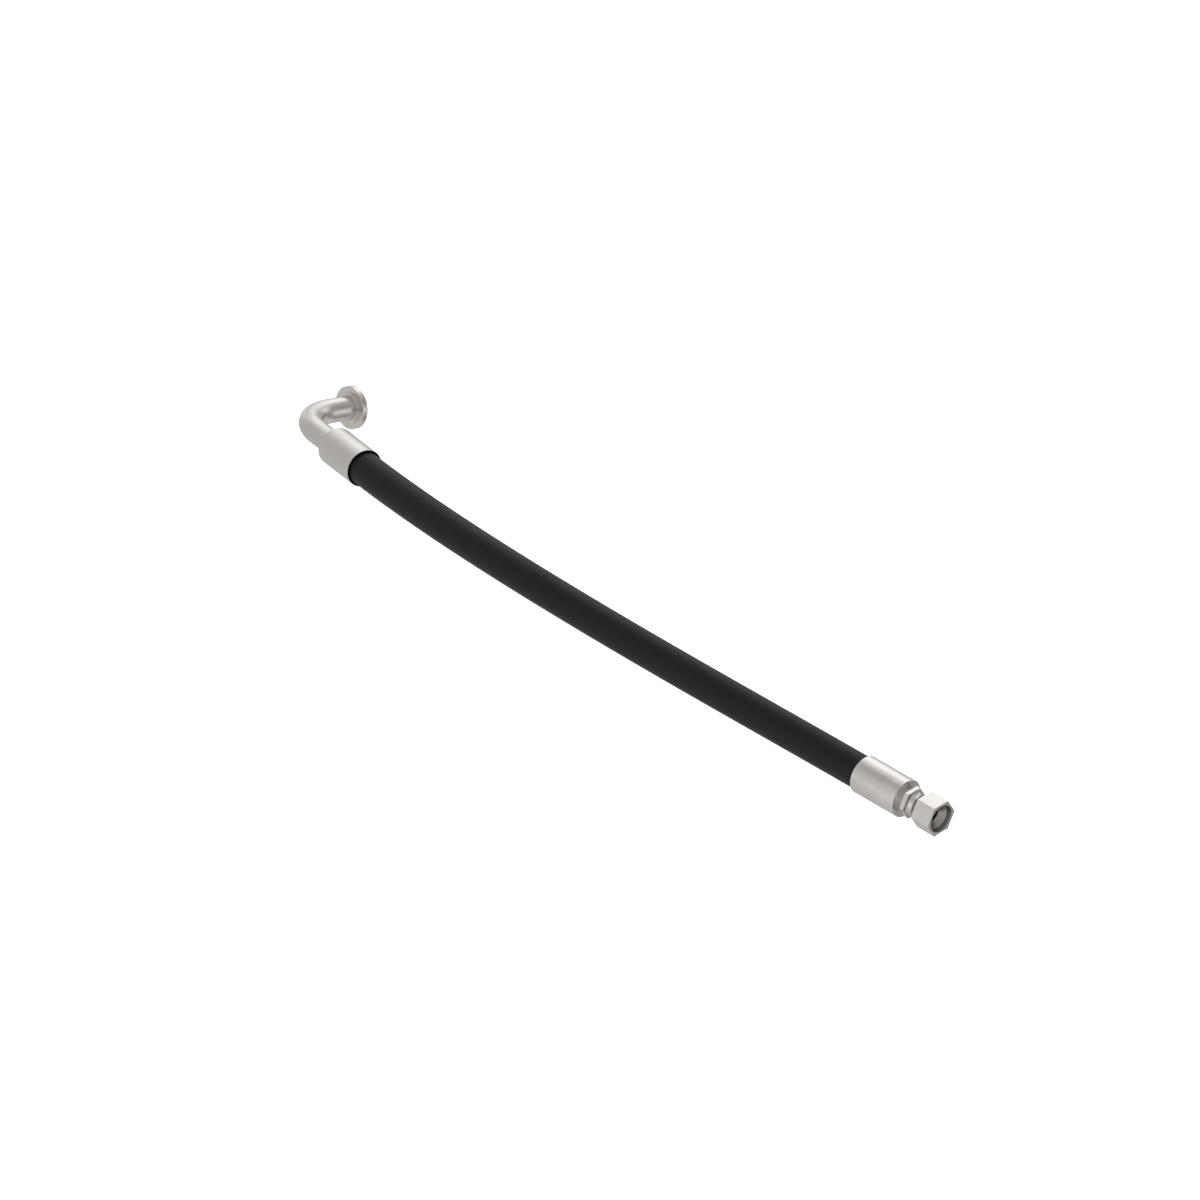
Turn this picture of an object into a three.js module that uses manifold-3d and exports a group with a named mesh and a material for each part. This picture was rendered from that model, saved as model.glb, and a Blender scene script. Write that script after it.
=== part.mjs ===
// Hydraulic hose assembly: a DN12 two-wire-braid hose with a crimped 37-degree
// swivel-nut end on the right and a crimped bent-tube flange end on the left.
// Millimetres, +Z up. The hose lies in one horizontal plane and the assembly
// stands on its two ferrules. The right fitting's axis runs along +X.
import * as THREE from 'three';
import { mergeVertices } from 'three/addons/utils/BufferGeometryUtils.js';
import Module from 'manifold-3d';

const wasm = await Module();
wasm.setup();

// ---------------------------------------------------------------- dimensions
// hose
const HOSE_SIDES = 12;
const HOSE_STEPS = 16;
const COVER_R = [11.5, 10.2];            // outer, inner radius of each layer
const BRAID_OUTER_R = [9.9, 9.35];
const INTERLAYER_R = [9.05, 8.8];
const BRAID_INNER_R = [8.5, 8.0];
const LINER_R = [7.7, 6.55];
const HOSE_RUN = 487.0;                  // along X, ferrule mouth to ferrule mouth
const BEND = [-67.3, 179.6, -143.5, 60.2]; // sideways offset of the centre line: sum of BEND[i] * s^(i+2), s = 0 right, 1 left
const HOSE_INSERTION = 32.0;             // hose length held inside each ferrule

// ferrules
const FERRULE_SIDES = 32;
const FERRULE_R = 13.25;
const FERRULE_LENGTH = 38.0;
const FERRULE_BORE_R = 11.85;
const FERRULE_GROOVE_R = 12.25;          // internal gripping grooves
const FERRULE_MOUTH_R = 12.75;           // relieved lip at the hose side
const FERRULE_MOUTH_DEPTH = 3.0;
const FERRULE_WALL = 3.1;                // end wall that locks behind the insert's shoulder
const FERRULE_NECK_R = 8.65;             // opening in the end wall
const EDGE = 0.35;                       // small edge break

// inserts (the barbed tails inside the hose)
const ROUND_SIDES = 24;
const TAIL_R = 6.0;
const TAIL_ROOT_R = 5.6;
const TAIL_BORE_R = 5.05;
const TAIL_TIP = 3.0;                    // distance of the tail's tip behind the ferrule mouth
const SHOULDER_R = 10.5;
const SHOULDER_START = 32.3;
const SHOULDER_END = 34.6;
const SPIGOT_R = 6.05;
const SPIGOT_END = 41.0;

// right fitting, distances measured back from the nut's front face
const NUT_ACROSS_FLATS = 22.0;
const NUT_HEX_LENGTH = 15.1;
const NUT_LENGTH = 19.8;
const NUT_COLLAR_R = 8.6;
const NUT_MOUTH_R = 9.65;
const NUT_MOUTH_DEPTH = 3.0;             // length of the tapered mouth
const NUT_THREAD_R = 8.75;               // minor radius of the 3/4-16 thread
const NUT_REAR_BORE_R = 6.95;
const NUT_TURN_DEG = 25.5;               // a corner of the nut, turned from +Y towards +Z
const NOSE_START = 3.2;                  // front rim of the cone seat
const NOSE_R = 8.45;
const SEAT_MOUTH_R = 8.25;
const SEAT_ANGLE_DEG = 37;
const STEM_NECK_R = 6.6;
const STEM_HEX_ACROSS_FLATS = 19.0;
const STEM_HEX_START = 24.0;
const STEM_HEX_END = 27.2;
const STEM_HEX_TURN_DEG = 25.5;
const STEM_REAR_R = 8.35;
const RIGHT_FERRULE_START = 31.1;

// left fitting
const LEFT_YAW_DEG = 15.09;              // left ferrule's axis, turned in the hose plane from the right one
const TUBE_R = 8.35;
const TUBE_BORE_R = 6.35;
const TUBE_SIDES = 20;
const TUBE_STEPS = 22;
const TUBE_START = 34.9;                 // tube end inside the ferrule, from the ferrule mouth
const CORNER_DISTANCE = 87.2;            // ferrule mouth to the crossing of the two tube axes
const BEND_RADIUS = 30.0;
const BEND_ANGLE_DEG = 81.3;
const ELBOW_ROLL_DEG = 10.7;             // how far the elbow is turned up out of the hose plane
const FLANGE_SIDES = 32;
const FLANGE_R = 14.6;
const FLANGE_BACK = 44.4;                // from the crossing of the axes to the flange's back face
const FLANGE_THICKNESS = 4.3;
const FLANGE_COLLAR_R = 10.7;
const FLANGE_COLLAR_LENGTH = 1.6;
const FLANGE_SOCKET_R = 8.65;
const FLANGE_SOCKET_DEPTH = 1.5;         // past the back face
const GROOVE_R = [12.7, 9.1];
const GROOVE_DEPTH = 2.4;
const O_RING_MEAN_R = 10.9;
const O_RING_SECTION_R = 1.45;
const GAP = 0.3;

// where the row's origin lies in the coordinates used above
const ORIGIN = [-324.99255, 44.4496];
const AXIS_HEIGHT = FERRULE_R * Math.cos(Math.PI / FERRULE_SIDES);

// ---------------------------------------------------------------- materials
const steel = (color, roughness) => new THREE.MeshStandardMaterial({ color, roughness, metalness: 1.0 });
const rubber = (color, roughness) => new THREE.MeshStandardMaterial({ color, roughness, metalness: 0.0 });

// ---------------------------------------------------------------- helpers
const V = (x, y, z) => new THREE.Vector3(x, y, z);
const rad = THREE.MathUtils.degToRad;
const assembly = new THREE.Group();
assembly.name = 'hydraulic_hose_assembly';
assembly.position.set(-ORIGIN[0], -ORIGIN[1], AXIS_HEIGHT);

function stripped(geometry) {
  const g = geometry.index ? geometry.toNonIndexed() : geometry.clone();
  g.deleteAttribute('normal');
  g.deleteAttribute('uv');
  return mergeVertices(g, 1e-4);
}

function solid(geometry) {
  const g = stripped(geometry);
  const kept = [];
  for (let i = 0; i < g.index.count; i += 3) {
    const a = g.index.getX(i), b = g.index.getX(i + 1), c = g.index.getX(i + 2);
    if (a !== b && b !== c && c !== a) kept.push(a, b, c);
  }
  return new wasm.Manifold(new wasm.Mesh({
    numProp: 3,
    vertProperties: new Float32Array(g.attributes.position.array),
    triVerts: new Uint32Array(kept),
  }));
}

function geometryOf(manifold) {
  const m = manifold.getMesh();
  const g = new THREE.BufferGeometry();
  g.setAttribute('position', new THREE.BufferAttribute(new Float32Array(m.vertProperties), 3));
  g.setIndex(new THREE.BufferAttribute(new Uint32Array(m.triVerts), 1));
  g.computeVertexNormals();
  return g;
}

// profile: [distance along the axis, radius] pairs, counted anticlockwise with
// the axis upwards; a hollow piece's profile closes on itself
function revolve(profile, sides, closed = true) {
  const pts = profile.map(([d, r]) => new THREE.Vector2(r, d));
  if (closed) pts.push(pts[0].clone());
  return new THREE.LatheGeometry(pts, sides, Math.PI / sides);
}

function hexPrism(acrossFlats, start, end, turnDeg) {
  const r = acrossFlats / Math.sqrt(3);
  const shape = new THREE.Shape();
  for (let i = 0; i < 6; i++) {
    const a = rad(180 - turnDeg + 60 * i);
    const p = [r * Math.cos(a), r * Math.sin(a)];
    if (i) shape.lineTo(...p); else shape.moveTo(...p);
  }
  shape.closePath();
  const g = new THREE.ExtrudeGeometry(shape, { depth: end - start, bevelEnabled: false, steps: 1 });
  // section x -> local X, section y -> local Z, depth -> local +Y
  const m = new THREE.Matrix4().makeBasis(V(-1, 0, 0), V(0, 0, 1), V(0, 1, 0));
  g.applyMatrix4(m);
  g.translate(0, start, 0);
  return g;
}

function add(name, geometry, material, origin, axis) {
  const mesh = new THREE.Mesh(geometry, material);
  mesh.name = name;
  if (axis) {
    const y = axis.clone().normalize();
    const z = V(0, 0, 1).addScaledVector(y, -y.z).normalize();
    const x = new THREE.Vector3().crossVectors(y, z);
    mesh.setRotationFromMatrix(new THREE.Matrix4().makeBasis(x, y, z));
  }
  if (origin) mesh.position.copy(origin);
  assembly.add(mesh);
  return mesh;
}

// ---------------------------------------------------------------- layout
// The right fitting's axis is the line y = 0, z = 0; its nut's front face is x = 0.
const nutFace = V(0, 0, 0);
const backwards = V(-1, 0, 0);
const rightMouthX = -(RIGHT_FERRULE_START + FERRULE_LENGTH);

function sideways(s) {
  return BEND.reduce((sum, k, i) => sum + k * s ** (i + 2), 0);
}
const leftMouth = V(rightMouthX - HOSE_RUN, sideways(1), 0);
const leftOut = V(-Math.cos(rad(LEFT_YAW_DEG)), Math.sin(rad(LEFT_YAW_DEG)), 0); // from the hose into the left fitting

class HoseLine extends THREE.Curve {
  constructor() {
    super();
    this.free = [];
    const n = 240;
    for (let i = 0; i <= n; i++) {
      const s = i / n;
      this.free.push(V(rightMouthX - HOSE_RUN * s, sideways(s), 0));
    }
    this.free.unshift(V(rightMouthX + HOSE_INSERTION, 0, 0));
    this.free.push(leftMouth.clone().addScaledVector(leftOut, HOSE_INSERTION));
    this.at = [0];
    for (let i = 1; i < this.free.length; i++) {
      this.at.push(this.at[i - 1] + this.free[i].distanceTo(this.free[i - 1]));
    }
    this.total = this.at[this.at.length - 1];
  }
  getPoint(t, target = new THREE.Vector3()) {
    const d = Math.min(Math.max(t, 0), 1) * this.total;
    let i = 1;
    while (i < this.at.length - 1 && this.at[i] < d) i++;
    const f = (d - this.at[i - 1]) / (this.at[i] - this.at[i - 1]);
    return target.copy(this.free[i - 1]).lerp(this.free[i], f);
  }
}
const hoseLine = new HoseLine();

function ring(outerR, innerR, sides) {
  const shape = new THREE.Shape();
  const hole = new THREE.Path();
  for (let i = 0; i < sides; i++) {
    const a = (2 * Math.PI * (i + 0.5)) / sides;
    const c = Math.cos(a), s = Math.sin(a);
    if (i) { shape.lineTo(outerR * c, outerR * s); hole.lineTo(innerR * c, innerR * s); }
    else { shape.moveTo(outerR * c, outerR * s); hole.moveTo(innerR * c, innerR * s); }
  }
  shape.closePath();
  hole.closePath();
  shape.holes.push(hole);
  return shape;
}

function hoseLayer(name, [outer, inner], material) {
  add(name, new THREE.ExtrudeGeometry(ring(outer, inner, HOSE_SIDES),
    { steps: HOSE_STEPS, bevelEnabled: false, extrudePath: hoseLine }), material);
}

// ---------------------------------------------------------------- hose
hoseLayer('hose_outer_cover', COVER_R, rubber(0x232323, 0.75));
hoseLayer('hose_outer_wire_braid', BRAID_OUTER_R, steel(0xb9a46a, 0.45));
hoseLayer('hose_rubber_interlayer', INTERLAYER_R, rubber(0x1c1c1c, 0.85));
hoseLayer('hose_inner_wire_braid', BRAID_INNER_R, steel(0xb9a46a, 0.45));
hoseLayer('hose_inner_liner', LINER_R, rubber(0x151515, 0.6));

// ---------------------------------------------------------------- ferrules
// Local axis: 0 at the hose-side mouth, growing towards the fitting.
function ferruleGeometry() {
  const end = FERRULE_LENGTH;
  const wall = end - FERRULE_WALL;
  const profile = [
    [0, FERRULE_MOUTH_R], [0, FERRULE_R - EDGE / 2], [EDGE / 2, FERRULE_R],
    [end - EDGE, FERRULE_R], [end, FERRULE_R - EDGE],
    [end, FERRULE_NECK_R], [wall, FERRULE_NECK_R], [wall, FERRULE_BORE_R],
  ];
  for (let d = wall - 6; d > 9; d -= 9) {
    profile.push([d, FERRULE_BORE_R], [d - 0.6, FERRULE_GROOVE_R], [d - 2.2, FERRULE_GROOVE_R], [d - 2.8, FERRULE_BORE_R]);
  }
  profile.push([FERRULE_MOUTH_DEPTH + 1, FERRULE_BORE_R], [FERRULE_MOUTH_DEPTH, FERRULE_MOUTH_R]);
  return revolve(profile, FERRULE_SIDES);
}
const plated = steel(0xc6c2bc, 0.33);
add('left_ferrule', ferruleGeometry(), plated, leftMouth, leftOut);
add('right_ferrule', ferruleGeometry(), plated.clone(), V(rightMouthX, 0, 0), V(1, 0, 0));

// ---------------------------------------------------------------- tails
function barbs(from, to, pitch) {
  const out = [];
  for (let d = from; d + pitch <= to; d += pitch) out.push([d, TAIL_ROOT_R], [d + pitch * 0.85, TAIL_R], [d + pitch * 0.9, TAIL_ROOT_R]);
  return out;
}

// left insert: barbed tail, locking shoulder, spigot brazed into the bent tube
{
  const outer = [
    [TAIL_TIP, TAIL_BORE_R], [TAIL_TIP, TAIL_ROOT_R - 0.15], [TAIL_TIP + 0.8, TAIL_R],
    [TAIL_TIP + 3.2, TAIL_R], [TAIL_TIP + 3.6, TAIL_ROOT_R],
    ...barbs(TAIL_TIP + 5.2, SHOULDER_START - 2, 5.0),
    [SHOULDER_START - 1.2, TAIL_ROOT_R], [SHOULDER_START - 0.6, TAIL_R], [SHOULDER_START, TAIL_R],
    [SHOULDER_START, SHOULDER_R], [SHOULDER_END, SHOULDER_R], [SHOULDER_END, SPIGOT_R],
    [SPIGOT_END - 0.6, SPIGOT_R], [SPIGOT_END, SPIGOT_R - 0.5], [SPIGOT_END, TAIL_BORE_R],
  ];
  add('left_hose_insert', revolve(outer, ROUND_SIDES), steel(0xbdb9b3, 0.38), leftMouth, leftOut);
}

// ---------------------------------------------------------------- right stem
// Local axis: 0 at the nut's front face, growing backwards into the hose.
{
  const back = RIGHT_FERRULE_START + FERRULE_LENGTH;
  const tip = back - TAIL_TIP;
  const shoulderFront = back - SHOULDER_END;
  const shoulderBack = back - SHOULDER_START;
  const body = [
    [NOSE_START, 0], [NOSE_START, NOSE_R],
    [9.0, NOSE_R], [9.0 + NOSE_R - STEM_NECK_R, STEM_NECK_R],
    [STEM_HEX_START - 1.2, STEM_NECK_R], [STEM_HEX_START + 0.3, STEM_REAR_R],
    [shoulderFront, STEM_REAR_R], [shoulderFront, SHOULDER_R], [shoulderBack, SHOULDER_R], [shoulderBack, TAIL_R],
    [shoulderBack + 0.6, TAIL_R], [shoulderBack + 1.2, TAIL_ROOT_R],
  ];
  for (let d = shoulderBack + 2.6; d + 5 < tip - 4; d += 5) body.push([d, TAIL_ROOT_R], [d + 0.2, TAIL_R], [d + 4.4, TAIL_ROOT_R]);
  body.push([tip - 3.6, TAIL_ROOT_R], [tip - 3.2, TAIL_R], [tip - 0.8, TAIL_R], [tip, TAIL_ROOT_R - 0.15], [tip, 0]);
  const seatDepth = (SEAT_MOUTH_R - TAIL_BORE_R) / Math.tan(rad(SEAT_ANGLE_DEG));
  const bore = [
    [NOSE_START - 1, 0], [NOSE_START - 1, SEAT_MOUTH_R + Math.tan(rad(SEAT_ANGLE_DEG))],
    [NOSE_START, SEAT_MOUTH_R], [NOSE_START + seatDepth, TAIL_BORE_R], [back + 1, TAIL_BORE_R], [back + 1, 0],
  ];
  const stem = solid(revolve(body, ROUND_SIDES, false))
    .add(solid(hexPrism(STEM_HEX_ACROSS_FLATS, STEM_HEX_START, STEM_HEX_END, STEM_HEX_TURN_DEG)))
    .subtract(solid(revolve(bore, ROUND_SIDES, false)));
  add('right_stem', geometryOf(stem), steel(0xc8c4be, 0.33), nutFace, backwards);
}

// ---------------------------------------------------------------- swivel nut
{
  const collar = [
    [NUT_HEX_LENGTH - 4, 0], [NUT_HEX_LENGTH - 4, NUT_ACROSS_FLATS / 2 - 0.6],
    [NUT_HEX_LENGTH, NUT_ACROSS_FLATS / 2 - 0.6], [NUT_HEX_LENGTH + 1.2, NUT_COLLAR_R + 0.9],
    [NUT_HEX_LENGTH + 2.6, NUT_COLLAR_R], [NUT_LENGTH - 0.8, NUT_COLLAR_R - 0.5], [NUT_LENGTH, NUT_COLLAR_R - 1.1], [NUT_LENGTH, 0],
  ];
  const coneStart = 9.15;
  const bore = [
    [-1, 0], [-1, NUT_MOUTH_R + 0.3], [0, NUT_MOUTH_R], [NUT_MOUTH_DEPTH, NUT_THREAD_R],
    [coneStart, NUT_THREAD_R], [coneStart + NUT_THREAD_R - NUT_REAR_BORE_R, NUT_REAR_BORE_R],
    [NUT_LENGTH + 1, NUT_REAR_BORE_R], [NUT_LENGTH + 1, 0],
  ];
  const nut = solid(hexPrism(NUT_ACROSS_FLATS, 0, NUT_HEX_LENGTH, NUT_TURN_DEG))
    .add(solid(revolve(collar, ROUND_SIDES, false)))
    .subtract(solid(revolve(bore, ROUND_SIDES, false)));
  add('swivel_nut', geometryOf(nut), steel(0xd0ccc6, 0.3), nutFace, backwards);
}

// ---------------------------------------------------------------- bent tube and flange
const corner = leftMouth.clone().addScaledVector(leftOut, CORNER_DISTANCE);
const across = new THREE.Vector3().crossVectors(leftOut, V(0, 0, 1)).normalize();   // horizontal, square to the ferrule
const rolled = across.clone().multiplyScalar(Math.cos(rad(ELBOW_ROLL_DEG))).addScaledVector(V(0, 0, 1), Math.sin(rad(ELBOW_ROLL_DEG)));
const flangeOut = leftOut.clone().multiplyScalar(Math.cos(rad(BEND_ANGLE_DEG))).addScaledVector(rolled, Math.sin(rad(BEND_ANGLE_DEG)));

class TubeLine extends THREE.Curve {
  constructor() {
    super();
    const t = BEND_RADIUS * Math.tan(rad(BEND_ANGLE_DEG) / 2);
    this.a = corner.clone().addScaledVector(leftOut, TUBE_START - CORNER_DISTANCE);
    this.b = corner.clone().addScaledVector(leftOut, -t);
    this.c = corner.clone().addScaledVector(flangeOut, t);
    this.d = corner.clone().addScaledVector(flangeOut, FLANGE_BACK + FLANGE_SOCKET_DEPTH - GAP);
    this.centre = this.b.clone().addScaledVector(rolled, BEND_RADIUS);
    this.l1 = this.a.distanceTo(this.b);
    this.l2 = BEND_RADIUS * rad(BEND_ANGLE_DEG);
    this.l3 = this.c.distanceTo(this.d);
  }
  getPoint(t, target = new THREE.Vector3()) {
    let d = Math.min(Math.max(t, 0), 1) * (this.l1 + this.l2 + this.l3);
    if (d <= this.l1) return target.copy(this.a).addScaledVector(leftOut, d);
    d -= this.l1;
    if (d <= this.l2) {
      const a = d / BEND_RADIUS;
      return target.copy(this.centre).addScaledVector(rolled, -BEND_RADIUS * Math.cos(a)).addScaledVector(leftOut, BEND_RADIUS * Math.sin(a));
    }
    return target.copy(this.c).addScaledVector(flangeOut, d - this.l2);
  }
}
add('elbow_tube', new THREE.ExtrudeGeometry(ring(TUBE_R, TUBE_BORE_R, TUBE_SIDES),
  { steps: TUBE_STEPS, bevelEnabled: false, extrudePath: new TubeLine() }), steel(0xbfbbb6, 0.35));

// Local axis: 0 at the crossing of the tube axes, growing towards the sealing face.
{
  const back = FLANGE_BACK;
  const face = FLANGE_BACK + FLANGE_THICKNESS;
  const profile = [
    [back + FLANGE_SOCKET_DEPTH, FLANGE_SOCKET_R], [back - FLANGE_COLLAR_LENGTH, FLANGE_SOCKET_R],
    [back - FLANGE_COLLAR_LENGTH, FLANGE_COLLAR_R], [back, FLANGE_COLLAR_R],
    [back, FLANGE_R - EDGE], [back + EDGE, FLANGE_R], [face - EDGE, FLANGE_R], [face, FLANGE_R - EDGE],
    [face, GROOVE_R[0]], [face - GROOVE_DEPTH, GROOVE_R[0]], [face - GROOVE_DEPTH, GROOVE_R[1]], [face, GROOVE_R[1]],
    [face, TUBE_BORE_R], [back + FLANGE_SOCKET_DEPTH, TUBE_BORE_R],
  ];
  add('flange_head', revolve(profile, FLANGE_SIDES), steel(0xc4c0bb, 0.34), corner, flangeOut);

  const middle = face - GROOVE_DEPTH + GAP + O_RING_SECTION_R;
  const section = [];
  for (let i = 0; i < 10; i++) {
    const a = (2 * Math.PI * i) / 10;
    section.push([middle + O_RING_SECTION_R * Math.sin(a), O_RING_MEAN_R + O_RING_SECTION_R * Math.cos(a)]);
  }
  add('flange_o_ring', revolve(section, ROUND_SIDES), rubber(0x1a1a1a, 0.5), corner, flangeOut);
}

export default assembly;
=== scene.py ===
import math

import bmesh
import bpy
from mathutils import Matrix, Vector


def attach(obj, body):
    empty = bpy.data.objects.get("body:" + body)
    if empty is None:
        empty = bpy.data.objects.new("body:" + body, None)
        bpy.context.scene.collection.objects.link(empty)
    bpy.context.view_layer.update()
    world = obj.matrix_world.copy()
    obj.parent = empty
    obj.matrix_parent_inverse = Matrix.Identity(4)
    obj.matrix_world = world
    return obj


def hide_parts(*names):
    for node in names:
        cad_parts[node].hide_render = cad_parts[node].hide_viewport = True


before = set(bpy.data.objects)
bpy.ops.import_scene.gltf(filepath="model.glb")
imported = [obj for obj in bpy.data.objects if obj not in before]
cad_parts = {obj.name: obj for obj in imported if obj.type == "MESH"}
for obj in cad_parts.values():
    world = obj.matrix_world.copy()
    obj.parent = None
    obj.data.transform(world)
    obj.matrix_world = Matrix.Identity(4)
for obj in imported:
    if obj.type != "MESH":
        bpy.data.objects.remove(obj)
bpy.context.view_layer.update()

scene = bpy.context.scene
scene.view_settings.view_transform = "Standard"
scene.view_settings.look = "None"
scene.view_settings.exposure = 0.0
scene.view_settings.gamma = 1.0

MAIN = "hose_and_fittings"
rad = math.radians

# ------------------------------------------------------------------ camera
RIGHT = Vector((0.70710678, 0.63822417, 0.30441732))
UP = Vector((-0.40824829, 0.01696806, 0.91271322))
BACK = Vector((0.57735027, -0.76966356, 0.27255216))
DISTANCE = 12.0
OFFSET = Vector((324.99255, -44.4496, 13.25 * math.cos(math.pi / 32)))
TARGET = (Vector((-301.2483, -18.8303, 19.5908)) + OFFSET) / 1000.0

cam_data = bpy.data.cameras.new("camera")
cam = bpy.data.objects.new("camera", cam_data)
scene.collection.objects.link(cam)
cam_data.type = "PERSP"
cam_data.sensor_width = 36.0
cam_data.lens = 553.5
cam_data.clip_start = 1.0
cam_data.clip_end = 60.0
turn = Matrix((RIGHT, UP, BACK)).transposed()
cam.matrix_world = Matrix.Translation(TARGET + BACK * DISTANCE) @ turn.to_4x4()
scene.camera = cam

# ------------------------------------------------------------------ layout, millimetres
# "Layout" coordinates: the swivel nut's front face is at x = 0 on the X axis.


def place(p):
    """Layout millimetres to row metres."""
    return (Vector(p) + OFFSET) / 1000.0


HOSE_R = 11.5
HOSE_IN = 10.2
HOSE_RUN = 487.0
BEND = (-67.3, 179.6, -143.5, 60.2)
INSERTION = 32.0
FERRULE_R = 13.186
FERRULE_LENGTH = 38.0
RIGHT_MOUTH = -69.1
LEFT_YAW = rad(15.09)
CORNER_DISTANCE = 87.2
TUBE_R = 8.35
TUBE_BORE = 6.35
TUBE_START = 34.9
BEND_RADIUS = 30.0
BEND_ANGLE = rad(81.3)
ELBOW_ROLL = rad(10.7)
FLANGE_BACK = 44.4

right_mouth = Vector((RIGHT_MOUTH, 0, 0))
left_mouth = Vector((RIGHT_MOUTH - HOSE_RUN, sum(BEND), 0))
left_out = Vector((-math.cos(LEFT_YAW), math.sin(LEFT_YAW), 0))
corner = left_mouth + left_out * CORNER_DISTANCE
across = left_out.cross(Vector((0, 0, 1))).normalized()
rolled = across * math.cos(ELBOW_ROLL) + Vector((0, 0, 1)) * math.sin(ELBOW_ROLL)
flange_out = left_out * math.cos(BEND_ANGLE) + rolled * math.sin(BEND_ANGLE)


# ------------------------------------------------------------------ mesh helpers
def frame_matrix(origin, axis):
    z = axis.normalized()
    up = Vector((0, 0, 1)) if abs(z.z) < 0.9 else Vector((1, 0, 0))
    x = up.cross(z).normalized()
    y = z.cross(x)
    m = Matrix((x, y, z)).transposed().to_4x4()
    return Matrix.Translation(place(origin)) @ m


def new_object(name, verts, faces, matrix=None, sharp=32.0):
    mesh = bpy.data.meshes.new(name)
    mesh.from_pydata([tuple(v) for v in verts], [], faces)
    mesh.validate()
    mesh.update()
    obj = bpy.data.objects.new(name, mesh)
    scene.collection.objects.link(obj)
    for p in mesh.polygons:
        p.use_smooth = True
    mesh.set_sharp_from_angle(angle=rad(sharp))
    if matrix is not None:
        obj.matrix_world = matrix
    bpy.context.view_layer.update()
    return obj


def fillets(points, support=0.05):
    """(distance, radius[, fillet]) corners to a closed outline with rounded corners and support rings beside them."""
    n = len(points)
    out = []
    for i in range(n):
        p = Vector(points[i][:2])
        r = points[i][2] if len(points[i]) > 2 else 0.0
        a, b = Vector(points[i - 1][:2]), Vector(points[(i + 1) % n][:2])
        u, v = (a - p), (b - p)
        if r <= 0 or u.length < 1e-6 or v.length < 1e-6:
            out.append((p.x, p.y))
            continue
        lu, lv = u.length, v.length
        u.normalize()
        v.normalize()
        ang = u.angle(v)
        if ang > rad(176):
            out.append((p.x, p.y))
            continue
        t = min(r / math.tan(ang / 2), 0.45 * lu, 0.45 * lv)
        rr = t * math.tan(ang / 2)
        start, end = p + u * t, p + v * t
        centre = p + (u + v).normalized() * (rr / math.sin(ang / 2))
        s = min(support, 0.3 * (lu - t), 0.3 * (lv - t))
        if s > 0.004:
            q = start + u * s
            out.append((q.x, q.y))
        steps = 6
        d0, d1 = start - centre, end - centre
        full = d0.angle(d1)
        side = 1 if d0.x * d1.y - d0.y * d1.x > 0 else -1
        for k in range(steps + 1):
            w = side * full * k / steps
            c, sn = math.cos(w), math.sin(w)
            q = centre + Vector((d0.x * c - d0.y * sn, d0.x * sn + d0.y * c))
            out.append((q.x, q.y))
        if s > 0.004:
            q = end + v * s
            out.append((q.x, q.y))
    return out


def grid_faces(rings, n, flip=False):
    faces = []
    for i in range(rings):
        j = (i + 1) % rings
        for k in range(n):
            m = (k + 1) % n
            f = (i * n + k, i * n + m, j * n + m, j * n + k)
            faces.append(f[::-1] if flip else f)
    return faces


def lathe(name, outline, origin, axis, segments=144, sharp=32.0):
    """A closed outline of (distance along the axis, radius), outer side first going forwards, turned about the axis."""
    area = 0.0
    for (d0, r0), (d1, r1) in zip(outline, outline[1:] + outline[:1]):
        area += d0 * r1 - d1 * r0
    verts = []
    for d, r in outline:
        for k in range(segments):
            a = 2 * math.pi * k / segments
            verts.append((r * math.cos(a) / 1000, r * math.sin(a) / 1000, d / 1000))
    return new_object(name, verts, grid_faces(len(outline), segments, flip=area > 0),
                      frame_matrix(origin, axis), sharp)


def tube(name, line, outer, inner, segments=64, sharp=50.0, ease=0.25):
    """A pipe of walls outer and inner along a list of layout points, with eased end rims."""
    pts = [Vector(p) for p in line]
    n = len(pts)
    rows, prev = [], None
    frames = []
    for i, p in enumerate(pts):
        t = (pts[min(i + 1, n - 1)] - pts[max(i - 1, 0)]).normalized()
        if prev is None:
            up = Vector((0, 0, 1))
            x = (up - t * up.dot(t)).normalized()
        else:
            x = (prev - t * prev.dot(t)).normalized()
        prev = x
        frames.append((p, x, t.cross(x).normalized(), t))
    def row(i, r, shift=0.0):
        p, x, y, t = frames[i]
        p = p + t * shift
        return [place(p + x * (r * math.cos(2 * math.pi * k / segments)) + y * (r * math.sin(2 * math.pi * k / segments))) for k in range(segments)]
    rows.append(row(0, outer - ease))
    rows.append(row(0, outer - ease * 0.3, ease * 0.3))
    rows.append(row(0, outer, ease))
    for i in range(1, n - 1):
        rows.append(row(i, outer))
    rows.append(row(n - 1, outer, -ease))
    rows.append(row(n - 1, outer - ease * 0.3, -ease * 0.3))
    rows.append(row(n - 1, outer - ease))
    rows.append(row(n - 1, inner + ease))
    rows.append(row(n - 1, inner, -ease))
    for i in range(n - 2, 0, -1):
        rows.append(row(i, inner))
    rows.append(row(0, inner, ease))
    rows.append(row(0, inner + ease))
    verts = [v for r in rows for v in r]
    return new_object(name, verts, grid_faces(len(rows), segments, flip=True), None, sharp)


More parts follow.
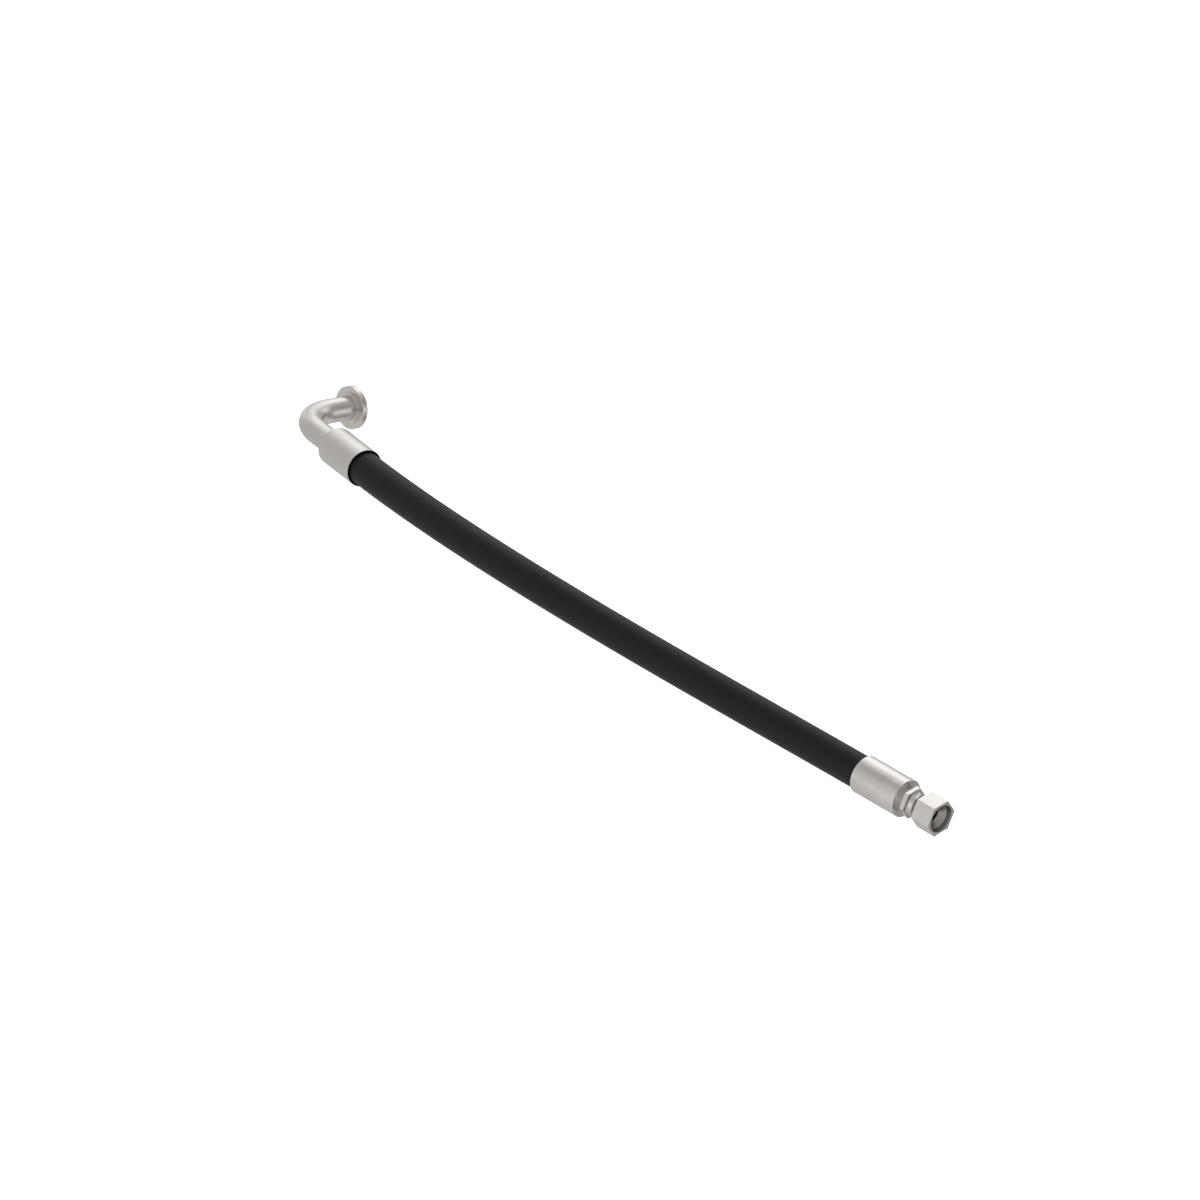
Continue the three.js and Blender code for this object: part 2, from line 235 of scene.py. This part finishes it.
def hex_section(flats, turn_deg, corner=0.35, face_steps=12, arc_steps=6):
    """Points round a hexagon with slightly rounded corners, in the frame of a piece that points along -X.
    One corner is turned by turn_deg from +Y towards +Z."""
    m = frame_matrix(Vector((0, 0, 0)), Vector((-1, 0, 0))).to_3x3()
    v = m.inverted() @ Vector((0, math.cos(rad(turn_deg)), math.sin(rad(turn_deg))))
    turn_deg = math.degrees(math.atan2(v.y, v.x))
    out = []
    big = flats / math.sqrt(3)
    for i in range(6):
        a = rad(turn_deg + 60 * i)
        # corner arc
        cc = (big - corner / math.cos(rad(30)))
        cx, cy = cc * math.cos(a), cc * math.sin(a)
        for k in range(arc_steps + 1):
            w = a - rad(30) + rad(60) * k / arc_steps
            out.append((cx + corner * math.cos(w), cy + corner * math.sin(w)))
        # face
        p0 = out[-1]
        b = rad(turn_deg + 60 * (i + 1))
        dx, dy = cc * math.cos(b), cc * math.sin(b)
        w = b - rad(30)
        p1 = (dx + corner * math.cos(w), dy + corner * math.sin(w))
        for k in range(1, face_steps):
            f = k / face_steps
            out.append((p0[0] + (p1[0] - p0[0]) * f, p0[1] + (p1[1] - p0[1]) * f))
    return out


def stacked(name, rings, origin, axis, sharp=32.0):
    """rings: lists of (x, y, d) points of equal count, joined into one closed body."""
    n = len(rings[0])
    verts = [(x / 1000, y / 1000, d / 1000) for ring in rings for x, y, d in ring]
    obj = new_object(name, verts, grid_faces(len(rings), n), None, sharp)
    bm = bmesh.new()
    bm.from_mesh(obj.data)
    volume = bm.calc_volume(signed=True)
    if volume < 0:
        bmesh.ops.reverse_faces(bm, faces=bm.faces[:])
    bm.to_mesh(obj.data)
    bm.free()
    obj.matrix_world = frame_matrix(origin, axis)
    bpy.context.view_layer.update()
    return obj


def circle_like(section, r, d):
    out = []
    for x, y in section:
        a = math.atan2(y, x)
        out.append((r * math.cos(a), r * math.sin(a), d))
    return out


def hex_at(section, d, shrink=0.0, cap=None):
    """The hexagon at distance d, pulled in by shrink, and cut by a circle of radius cap (a turned chamfer)."""
    out = []
    for x, y in section:
        r = math.hypot(x, y)
        f = (r - shrink) / r
        if cap is not None and r * f > cap:
            f = cap / r
        out.append((x * f, y * f, d))
    return out


# ------------------------------------------------------------------ hose route
def hose_points(step=1.8):
    fine = []
    n = 1200
    for i in range(n + 1):
        s = i / n
        fine.append(Vector((RIGHT_MOUTH - HOSE_RUN * s, sum(k * s ** (j + 2) for j, k in enumerate(BEND)), 0)))
    fine.insert(0, right_mouth + Vector((INSERTION, 0, 0)))
    fine.append(left_mouth + left_out * INSERTION)
    at = [0.0]
    for a, b in zip(fine, fine[1:]):
        at.append(at[-1] + (b - a).length)
    count = math.ceil(at[-1] / step)
    out, j = [], 0
    for i in range(count + 1):
        d = at[-1] * i / count
        while j < len(at) - 2 and at[j + 1] < d:
            j += 1
        f = (d - at[j]) / (at[j + 1] - at[j])
        out.append(fine[j].lerp(fine[j + 1], f))
    return out, at[-1]


route, hose_length = hose_points()

hose = tube("hose_cover", route, HOSE_R, HOSE_IN, segments=72)
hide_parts("hose_outer_cover")
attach(hose, MAIN)

layers = []
for name, node, (outer, inner), slot in (
    ("hose_braid_outer", "hose_outer_wire_braid", (9.9, 9.35), "braid_wire"),
    ("hose_bonding_layer", "hose_rubber_interlayer", (9.05, 8.8), "interlayer_rubber"),
    ("hose_braid_inner", "hose_inner_wire_braid", (8.5, 8.0), "braid_wire"),
    ("hose_liner", "hose_inner_liner", (7.7, 6.55), "liner_rubber"),
):
    layer = tube(name, route[::2] if len(route) % 2 else route[::2] + [route[-1]], outer, inner, segments=48, ease=0.08)
    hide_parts(node)
    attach(layer, MAIN)
    layers.append(layer)


# ------------------------------------------------------------------ ferrules
def ferrule(name, node, mouth, out):
    L, R = FERRULE_LENGTH, FERRULE_R
    wall = L - 3.1
    # outer side from the mouth to the fitting end, then back along the bore
    corners = [
        (0.0, R - 0.02, 0.14), (L, R, 0.45), (L, 8.42, 0.06), (wall, 8.42, 0.06), (wall, 11.85, 0.2),
    ]
    for d in (wall - 6, wall - 15):
        corners += [(d, 11.85), (d - 0.6, 12.25), (d - 2.2, 12.25), (d - 2.8, 11.85)]
    corners += [(4.2, 11.85, 0.3), (3.2, 12.72, 0.3), (0.0, 12.78, 0.12)]
    obj = lathe(name, fillets(corners), mouth, out, segments=160)
    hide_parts(node)
    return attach(obj, MAIN)


left_ferrule = ferrule("ferrule_left", "left_ferrule", left_mouth, left_out)
right_ferrule = ferrule("ferrule_right", "right_ferrule", right_mouth, Vector((1, 0, 0)))


# ------------------------------------------------------------------ barbed tails
def tail_outline(start, stop):
    """Barbed outer side of a tail, from its tip at start to the shoulder at stop."""
    out = [(start, 5.3, 0.2), (start + 0.8, 6.0, 0.2), (start + 3.2, 6.0, 0.15), (start + 3.6, 5.6)]
    d = start + 5.2
    while d + 5 <= stop - 2:
        out += [(d, 5.6), (d + 4.25, 6.0, 0.1), (d + 4.5, 5.6)]
        d += 5
    return out + [(stop - 1.2, 5.6), (stop - 0.6, 6.0)]


insert_outline = tail_outline(3.0, 32.3) + [
    (32.3, 6.0), (32.3, 10.5, 0.2), (34.6, 10.5, 0.2), (34.6, 6.05), (40.4, 6.05, 0.2), (41.0, 5.55, 0.1), (41.0, 5.05), (3.0, 5.05, 0.1),
]
insert = lathe("insert_left", fillets(insert_outline), left_mouth, left_out, segments=96)
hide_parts("left_hose_insert")
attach(insert, MAIN)


# ------------------------------------------------------------------ swivel nut
# distances d count back from the nut's front face
def nut_piece():
    sec = hex_section(22.0, 25.5, corner=0.22, face_steps=12, arc_steps=6)
    n = len(sec)
    rings = []

    def circ(r, d):
        rings.append(circle_like(sec, r, d))

    # front face: from the mouth chamfer out to the hexagon
    circ(9.72, 0.0)
    circ(9.80, 0.0)
    rings.append(hex_at(sec, 0.0, 0.22))
    rings.append(hex_at(sec, 0.0, 0.14))
    rings.append(hex_at(sec, 0.04, 0.04))
    rings.append(hex_at(sec, 0.13, 0.0))
    rings.append(hex_at(sec, 0.22, 0.0))
    for d in (2.0, 5.0, 8.0, 11.0, 13.5, 14.86, 14.93):
        rings.append(hex_at(sec, d))
    # crisp back edge, flat ring, then the rounded collar
    rings.append(hex_at(sec, 15.06, 0.04))
    rings.append(hex_at(sec, 15.1, 0.14))
    rings.append(hex_at(sec, 15.1, 0.22))
    circ(10.60, 15.1)
    circ(10.52, 15.1)
    for d, r in ((15.5, 10.35), (15.9, 10.02), (16.3, 9.68), (16.8, 9.3), (17.3, 8.95), (17.8, 8.68), (18.3, 8.45), (18.8, 8.22),
                 (19.2, 7.98), (19.5, 7.75), (19.7, 7.5), (19.8, 7.2), (19.8, 7.05)):
        circ(r, d)
    # rear bore and the cone that bears on the stem
    circ(6.95, 19.7)
    circ(6.95, 15.0)
    circ(6.95, 11.45)
    circ(7.02, 11.33)
    circ(8.72, 9.2)
    # socket wall, plain at the thread's inner diameter, and the tapered mouth
    for d, r in ((8.9, 8.75), (7.0, 8.75), (5.0, 8.75), (3.4, 8.75), (3.0, 8.78), (2.6, 8.87), (1.6, 9.15), (0.6, 9.44), (0.12, 9.585), (0.03, 9.63)):
        circ(r, d)
    obj = stacked("nut_swivel_hex", rings, Vector((0, 0, 0)), Vector((-1, 0, 0)), sharp=38.0)
    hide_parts("swivel_nut")
    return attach(obj, "nut")


nut = nut_piece()


# ------------------------------------------------------------------ right stem
def build_stem():
    sec = hex_section(19.0, 25.5, corner=0.2, face_steps=12, arc_steps=6)
    rings = []

    def circ(r, d):
        rings.append(circle_like(sec, r, d))

    nose = [(3.20, 8.50), (3.20, 8.52), (3.22, 8.56), (3.26, 8.58), (3.4, 8.58), (4.6, 8.58),
            (8.70, 8.58), (8.82, 8.55), (8.96, 8.47), (10.45, 6.98), (10.62, 6.70), (10.85, 6.62), (11.1, 6.60), (14.0, 6.60), (18.0, 6.60),
            (21.4, 6.60), (22.0, 6.66), (22.5, 6.80), (23.0, 7.05), (23.4, 7.35), (23.7, 7.68), (23.9, 8.0), (24.0, 8.25), (24.0, 8.33)]
    for d, r in nose:
        circ(r, d)
    rings.append(hex_at(sec, 24.0, 0.17))
    rings.append(hex_at(sec, 24.0, 0.12))
    rings.append(hex_at(sec, 24.035, 0.035))
    rings.append(hex_at(sec, 24.12, 0.0))
    rings.append(hex_at(sec, 24.17, 0.0))
    rings.append(hex_at(sec, 25.6, 0.0))
    rings.append(hex_at(sec, 27.03, 0.0))
    rings.append(hex_at(sec, 27.08, 0.0))
    rings.append(hex_at(sec, 27.165, 0.035))
    rings.append(hex_at(sec, 27.2, 0.12))
    rings.append(hex_at(sec, 27.2, 0.17))
    rear = [(27.2, 8.55), (27.22, 8.42), (27.3, 8.36), (27.4, 8.35), (34.5, 8.35), (34.5, 10.3), (34.55, 10.42), (34.7, 10.5),
            (36.6, 10.5), (36.75, 10.42), (36.8, 10.3), (36.8, 6.0), (37.4, 6.0), (38.0, 5.6)]
    for d, r in rear:
        circ(r, d)
    tip = 66.1
    d = 39.4
    while d + 5 < tip - 4:
        circ(5.6, d)
        circ(5.99, d + 0.15)
        circ(6.0, d + 0.4)
        circ(5.6, d + 4.4)
        d += 5
    for d, r in ((tip - 3.6, 5.6), (tip - 3.2, 6.0), (tip - 0.8, 6.0), (tip - 0.3, 5.7), (tip, 5.45), (tip, 5.15), (tip - 0.1, 5.05),
                 (50.0, 5.05), (30.0, 5.05), (12.0, 5.05), (8.0, 5.05), (7.8, 5.06), (7.68, 5.11), (7.6, 5.17), (6.9, 5.69), (5.6, 6.67), (4.3, 7.65), (3.35, 8.37), (3.24, 8.45)):
        circ(r, d)
    obj = stacked("stem_right", rings, Vector((0, 0, 0)), Vector((-1, 0, 0)), sharp=38.0)
    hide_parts("right_stem")
    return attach(obj, MAIN)


stem = build_stem()


# ------------------------------------------------------------------ bent tube
def elbow_line():
    t = BEND_RADIUS * math.tan(BEND_ANGLE / 2)
    a = corner + left_out * (TUBE_START - CORNER_DISTANCE)
    b = corner - left_out * t
    c = corner + flange_out * t
    d = corner + flange_out * (FLANGE_BACK + 1.5 - 0.3)
    centre = b + rolled * BEND_RADIUS
    pts = [a.lerp(b, k / 12) for k in range(12)]
    n = 64
    for k in range(n + 1):
        w = BEND_ANGLE * k / n
        pts.append(centre - rolled * (BEND_RADIUS * math.cos(w)) + left_out * (BEND_RADIUS * math.sin(w)))
    pts += [c.lerp(d, k / 10) for k in range(1, 11)]
    return pts


elbow = tube("elbow_pipe", elbow_line(), TUBE_R - 0.02, TUBE_BORE, segments=96, ease=0.2)
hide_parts("elbow_tube")
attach(elbow, MAIN)

# ------------------------------------------------------------------ flange head and seal
back, face = FLANGE_BACK, FLANGE_BACK + 4.3
flange = lathe("flange_plate", fillets([
    (back - 1.6, 8.38), (back - 1.6, 10.7, 0.25), (back, 10.7, 0.1), (back, 14.58, 0.3), (face, 14.58, 0.3),
    (face, 12.7, 0.12), (face - 2.4, 12.7, 0.25), (face - 2.4, 9.1, 0.25), (face, 9.1, 0.12), (face, 6.35, 0.25),
    (back + 1.5, 6.35), (back + 1.5, 8.38)]), corner, flange_out, segments=160)
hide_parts("flange_head")
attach(flange, MAIN)

ring = [(face - 2.4 + 0.3 + 1.45 + 1.44 * math.sin(2 * math.pi * k / 28), 10.9 + 1.44 * math.cos(2 * math.pi * k / 28)) for k in range(28)]
seal = lathe("flange_seal_ring", ring, corner, flange_out, segments=128, sharp=60)
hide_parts("flange_o_ring")
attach(seal, MAIN)


# ------------------------------------------------------------------ materials
class Nodes:
    def __init__(self, name):
        self.mat = bpy.data.materials.new(name)
        self.mat.use_nodes = True
        self.nt = self.mat.node_tree
        self.bsdf = self.nt.nodes["Principled BSDF"]

    def node(self, kind, **settings):
        n = self.nt.nodes.new(kind)
        for k, v in settings.items():
            setattr(n, k, v)
        return n

    def link(self, a, b):
        self.nt.links.new(a, b)

    def coords(self):
        return self.node("ShaderNodeTexCoord").outputs["Object"]

    def scaled(self, socket, scale):
        m = self.node("ShaderNodeMapping")
        m.inputs["Scale"].default_value = scale
        self.link(socket, m.inputs["Vector"])
        return m.outputs["Vector"]

    def noise(self, vector, scale, detail=3.0, rough=0.5):
        n = self.node("ShaderNodeTexNoise")
        n.inputs["Scale"].default_value = scale
        n.inputs["Detail"].default_value = detail
        n.inputs["Roughness"].default_value = rough
        self.link(vector, n.inputs["Vector"])
        return n.outputs["Fac"]

    def remap(self, socket, a, b, low=0.3, high=0.7):
        r = self.node("ShaderNodeMapRange")
        r.inputs["From Min"].default_value = low
        r.inputs["From Max"].default_value = high
        r.inputs["To Min"].default_value = a
        r.inputs["To Max"].default_value = b
        self.link(socket, r.inputs["Value"])
        return r.outputs["Result"]

    def math(self, op, a, b=None):
        m = self.node("ShaderNodeMath", operation=op)
        for i, v in enumerate((a, b)):
            if v is None:
                continue
            if hasattr(v, "links"):
                self.link(v, m.inputs[i])
            else:
                m.inputs[i].default_value = v
        return m.outputs[0]

    def colour_mix(self, fac, a, b):
        m = self.node("ShaderNodeMix", data_type="RGBA")
        if hasattr(fac, "links"):
            self.link(fac, m.inputs["Factor"])
        else:
            m.inputs["Factor"].default_value = fac
        for key, v in (("A", a), ("B", b)):
            s = next(i for i in m.inputs if i.name == key and i.type == "RGBA")
            if hasattr(v, "links"):
                self.link(v, s)
            else:
                s.default_value = (*v, 1)
        return next(o for o in m.outputs if o.type == "RGBA")

    def bump(self, height, strength, distance, normal=None):
        b = self.node("ShaderNodeBump")
        b.inputs["Strength"].default_value = strength
        b.inputs["Distance"].default_value = distance
        self.link(height, b.inputs["Height"])
        if normal is not None:
            self.link(normal, b.inputs["Normal"])
        return b.outputs["Normal"]


def plated_steel(name, base, roughness, turned=True, spread=0.03, bore_shade=None):
    """Satin zinc-nickel plate: fine grain, faint clouding, and turning marks round the piece's own axis where it is
    lathe-turned. Where asked, painted shade darkens a hollow near the front face.
    """
    m = Nodes(name)
    co = m.coords()
    cloud = m.noise(co, 55.0, 3.0, 0.55)
    grain = m.noise(co, 2600.0, 2.0, 0.6)
    dark = tuple(c * 0.93 for c in base)
    light = tuple(min(1.0, c * 1.04) for c in base)
    mixed = m.colour_mix(m.remap(cloud, 0.0, 1.0), dark, light)
    grain_and_shade = m.colour_mix(m.remap(grain, 0.0, 0.15), mixed, tuple(c * 0.86 for c in base))
    if bore_shade is not None:
        # painted shade: within this radius and this depth from the front face the base colour is darkened to 0.52 of
        # itself, standing in for the shade of the hollow
        radius, depth = bore_shade
        at = m.node("ShaderNodeSeparateXYZ")
        m.link(co, at.inputs[0])
        away = m.math("SQRT", m.math("ADD", m.math("MULTIPLY", at.outputs["X"], at.outputs["X"]),
                                     m.math("MULTIPLY", at.outputs["Y"], at.outputs["Y"])))
        bore_shade_mask = m.math("MULTIPLY", m.math("LESS_THAN", away, radius), m.math("LESS_THAN", at.outputs["Z"], depth))
        grain_and_shade = m.colour_mix(bore_shade_mask, grain_and_shade, tuple(c * 0.52 for c in base))
    m.link(grain_and_shade, m.bsdf.inputs["Base Color"])
    rough = m.math("ADD", m.remap(cloud, -spread, spread), m.remap(grain, roughness - 0.02, roughness + 0.02))
    height = m.math("MULTIPLY", grain, 0.35)
    if turned:
        sep = m.node("ShaderNodeSeparateXYZ")
        m.link(co, sep.inputs[0])
        r = m.math("SQRT", m.math("ADD", m.math("MULTIPLY", sep.outputs["X"], sep.outputs["X"]),
                                  m.math("MULTIPLY", sep.outputs["Y"], sep.outputs["Y"])))
        comb = m.node("ShaderNodeCombineXYZ")
        m.link(r, comb.inputs["X"])
        m.link(sep.outputs["Z"], comb.inputs["Z"])
        lines = m.noise(comb.outputs[0], 1500.0, 2.0, 0.6)
        height = m.math("ADD", height, m.math("MULTIPLY", lines, 0.5))
        rough = m.math("ADD", rough, m.remap(lines, -0.012, 0.012))
    m.link(rough, m.bsdf.inputs["Roughness"])
    m.link(m.bump(height, 0.06, 0.00008), m.bsdf.inputs["Normal"])
    m.bsdf.inputs["Metallic"].default_value = 1.0
    return m.mat


def rubber(name, base, roughness, grain_scale=1800.0, strength=0.25, specular=0.5):
    m = Nodes(name)
    co = m.coords()
    cloud = m.noise(co, 30.0, 3.0, 0.5)
    grain = m.noise(co, grain_scale, 3.0, 0.6)
    colour = m.colour_mix(m.remap(cloud, 0.0, 1.0), tuple(c * 0.85 for c in base), tuple(c * 1.2 for c in base))
    m.link(colour, m.bsdf.inputs["Base Color"])
    m.link(m.math("ADD", m.remap(cloud, -0.03, 0.03), m.remap(grain, roughness - 0.04, roughness + 0.04)), m.bsdf.inputs["Roughness"])
    m.link(m.bump(grain, strength, 0.0001), m.bsdf.inputs["Normal"])
    m.bsdf.inputs["Specular IOR Level"].default_value = specular
    return m.mat


def wire_braid(name):
    """Brass-plated wire, laid in two crossing helices, with painted shade darkening the grooves between the wires."""
    m = Nodes(name)
    co = m.coords()
    sep = m.node("ShaderNodeSeparateXYZ")
    m.link(co, sep.inputs[0])
    a = m.math("ADD", sep.outputs["X"], sep.outputs["Z"])
    b = m.math("SUBTRACT", sep.outputs["X"], sep.outputs["Z"])
    sa = m.math("SINE", m.math("MULTIPLY", a, 9000.0))
    sb = m.math("SINE", m.math("MULTIPLY", b, 9000.0))
    over = m.math("GREATER_THAN", m.math("MULTIPLY", m.math("SINE", m.math("MULTIPLY", a, 1500.0)), m.math("SINE", m.math("MULTIPLY", b, 1500.0))), 0.0)
    pick = m.node("ShaderNodeMix", data_type="FLOAT")
    m.link(over, pick.inputs["Factor"])
    ins = [i for i in pick.inputs if i.name in ("A", "B") and i.type == "VALUE"]
    m.link(sa, ins[0])
    m.link(sb, ins[1])
    h = next(o for o in pick.outputs if o.type == "VALUE")
    # painted shade: the colour runs from light brass on the wire crests to dark brown in the grooves between them
    colour = m.colour_mix(m.remap(h, 0.0, 1.0, -0.8, 0.6), (0.16, 0.11, 0.04), (0.62, 0.48, 0.22))
    m.link(colour, m.bsdf.inputs["Base Color"])
    m.link(m.remap(h, 0.5, 0.32, -1.0, 1.0), m.bsdf.inputs["Roughness"])
    m.link(m.bump(h, 0.6, 0.00015), m.bsdf.inputs["Normal"])
    m.bsdf.inputs["Metallic"].default_value = 1.0
    return m.mat


def give(obj, mat):
    obj.data.materials.clear()
    obj.data.materials.append(mat)


METAL = (0.69, 0.667, 0.640)
ferrule_mat = plated_steel("ferrule_plate", METAL, 0.24)
fitting_mat = plated_steel("fitting_plate", METAL, 0.24)
# the nut's and the stem's hollows get painted shade: base colour darkened within the given radius and depth from the
# front face
nut_mat = plated_steel("nut_plate_bore_shade", METAL, 0.26, turned=False, bore_shade=(0.00961, 0.0195))
stem_mat = plated_steel("stem_plate_bore_shade", METAL, 0.24, bore_shade=(0.00855, 0.012))
tube_mat = plated_steel("tube_plate", METAL, 0.22, turned=False)
hose_mat = rubber("hose_cover_rubber", (0.0040, 0.0040, 0.0042), 0.50, specular=0.24)
give(left_ferrule, ferrule_mat)
give(right_ferrule, ferrule_mat)
give(insert, fitting_mat)
give(stem, stem_mat)
give(nut, nut_mat)
give(elbow, tube_mat)
give(flange, fitting_mat)
give(seal, rubber("seal_ring_rubber", (0.012, 0.012, 0.012), 0.42, 2500.0, 0.12))
give(hose, hose_mat)
braid_mat = wire_braid("wire_braid_brass")
for piece, mat in zip(layers, (braid_mat, rubber("bonding_rubber", (0.010, 0.010, 0.010), 0.8), braid_mat,
                               rubber("liner_black", (0.008, 0.008, 0.008), 0.5))):
    give(piece, mat)

# ------------------------------------------------------------------ floor and light
def floor_mesh():
    n, half = 8, 20.0
    verts, faces = [], []
    for i in range(n + 1):
        for j in range(n + 1):
            verts.append((-half + 2 * half * i / n, -half + 2 * half * j / n, -0.0006))
    for i in range(n):
        for j in range(n):
            a = i * (n + 1) + j
            faces.append((a, a + n + 1, a + n + 2, a + 1))
    mesh = bpy.data.meshes.new("floor")
    mesh.from_pydata(verts, [], faces)
    mesh.update()
    obj = bpy.data.objects.new("floor", mesh)
    scene.collection.objects.link(obj)
    return obj


floor = floor_mesh()
floor_mat = bpy.data.materials.new("floor_white")
floor_mat.use_nodes = True
fb = floor_mat.node_tree.nodes["Principled BSDF"]
fb.inputs["Base Color"].default_value = (0.9, 0.9, 0.9, 1)
fb.inputs["Roughness"].default_value = 1.0
fb.inputs["Specular IOR Level"].default_value = 0.0
fb.inputs["Emission Color"].default_value = (1, 1, 1, 1)
fb.inputs["Emission Strength"].default_value = 0.95
floor.data.materials.append(floor_mat)
floor.visible_glossy = False

# The studio: a soft surround given by directions, in the row frame.
world = bpy.data.worlds.new("studio")
scene.world = world
world.use_nodes = True
wt = world.node_tree
bg = wt.nodes["Background"]
tc = wt.nodes.new("ShaderNodeTexCoord")


def lobe(direction, sharpness, strength):
    d = Vector(direction).normalized()
    dot = wt.nodes.new("ShaderNodeVectorMath")
    dot.operation = "DOT_PRODUCT"
    wt.links.new(tc.outputs["Generated"], dot.inputs[0])
    dot.inputs[1].default_value = d
    a = wt.nodes.new("ShaderNodeMath")
    a.operation = "MULTIPLY_ADD"
    wt.links.new(dot.outputs["Value"], a.inputs[0])
    a.inputs[1].default_value = sharpness
    a.inputs[2].default_value = -sharpness
    e = wt.nodes.new("ShaderNodeMath")
    e.operation = "EXPONENT"
    wt.links.new(a.outputs[0], e.inputs[0])
    s = wt.nodes.new("ShaderNodeMath")
    s.operation = "MULTIPLY"
    wt.links.new(e.outputs[0], s.inputs[0])
    s.inputs[1].default_value = strength
    return s.outputs[0]


def iso(x, y, z):
    """A direction given in the view's level frame, in the row frame."""
    return Vector((x, 0.9026 * y - 0.4305 * z, 0.4305 * y + 0.9026 * z))


LOBES = [
    ((-0.527, 0.467, 0.710), 7.0, 0.817),
    ((-0.046, -0.922, -0.383), 7.0, 0.656),
    ((-0.411, 0.864, 0.290), 20.0, -0.335),
    ((0.442, 0.385, 0.810), 20.0, -0.141),
    ((0.910, 0.382, 0.163), 40.0, 0.559),
    ((0.659, 0.651, -0.377), 40.0, -0.264),
    ((-0.521, -0.493, 0.697), 40.0, -0.137),
    ((-0.836, 0.380, 0.397), 40.0, -0.257),
    ((-0.010, 0.886, 0.463), 40.0, 0.419),
    ((0.380, 0.924, 0.043), 20.0, -0.352),
    ((-0.379, -0.169, -0.910), 7.0, 0.110),
    ((-0.437, 0.294, 0.850), 40.0, 0.202),
    ((0.204, 0.889, -0.410), 40.0, 0.256),
    ((-0.585, -0.773, 0.243), 40.0, 0.066),
    ((0.567, 0.582, 0.583), 40.0, -0.258),
    ((0.061, 0.395, 0.917), 40.0, -0.178),
    ((-0.928, 0.332, 0.170), 40.0, 0.201),
    ((0.170, 0.818, 0.550), 40.0, 0.246),
    ((-0.355, 0.489, 0.797), 40.0, 0.148),
    ((-0.115, 0.789, 0.603), 40.0, -0.201),
]
total = None
for d, k, s in LOBES:
    out = lobe(d, k, s)
    if total is None:
        total = out
    else:
        add = wt.nodes.new("ShaderNodeMath")
        add.operation = "ADD"
        wt.links.new(total, add.inputs[0])
        wt.links.new(out, add.inputs[1])
        total = add.outputs[0]
base = wt.nodes.new("ShaderNodeMath")
base.operation = "ADD"
wt.links.new(total, base.inputs[0])
base.inputs[1].default_value = 0.581
wt.links.new(base.outputs[0], bg.inputs["Strength"])
bg.inputs["Color"].default_value = (1.0, 0.99, 0.98, 1)
